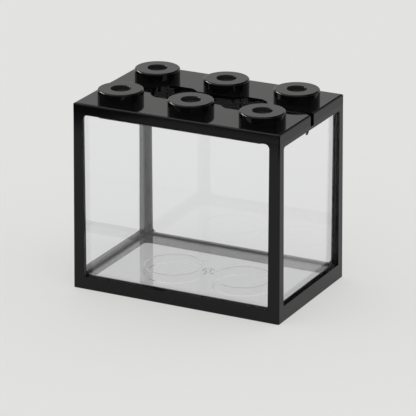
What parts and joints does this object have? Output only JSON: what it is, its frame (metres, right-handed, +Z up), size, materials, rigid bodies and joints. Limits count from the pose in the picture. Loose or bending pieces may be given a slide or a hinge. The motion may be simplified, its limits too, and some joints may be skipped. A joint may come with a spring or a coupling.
{
  "type": "fish tank",
  "caption": "Small stackable desktop fish tank: clear tank that drops into an open black cage, under a split cover with round studs and a long feeding opening.",
  "frame": {"origin": "centre of the footprint, on the table under the foot of the cage", "axes": "+X along the length, +Y from the front to the back, +Z up"},
  "size_m": [0.1218, 0.0794, 0.109],
  "materials": {
    "outer_frame": "black moulded plastic with a fine sheen",
    "clear_tank": "clear moulded plastic",
    "front_lid": "polished black moulded plastic",
    "rear_lid": "polished black moulded plastic"
  },
  "bodies": {
    "frame": {"outer_frame": "outer_frame"},
    "tank": {"clear_tank": "clear_tank"},
    "front_cover": {"front_lid": "front_lid"},
    "rear_cover": {"rear_lid": "rear_lid"}
  },
  "joints": [
    {"name": "tank_lift", "type": "slide", "parent": "frame", "child": "tank", "axis": [0, 0, 1], "range_m": [0, 0.105]},
    {"name": "front_cover_lift", "type": "slide", "parent": "tank", "child": "front_cover", "axis": [0, 0, 1], "range_m": [0, 0.04]},
    {"name": "rear_cover_lift", "type": "slide", "parent": "tank", "child": "rear_cover", "axis": [0, 0, 1], "range_m": [0, 0.04]}
  ]
}
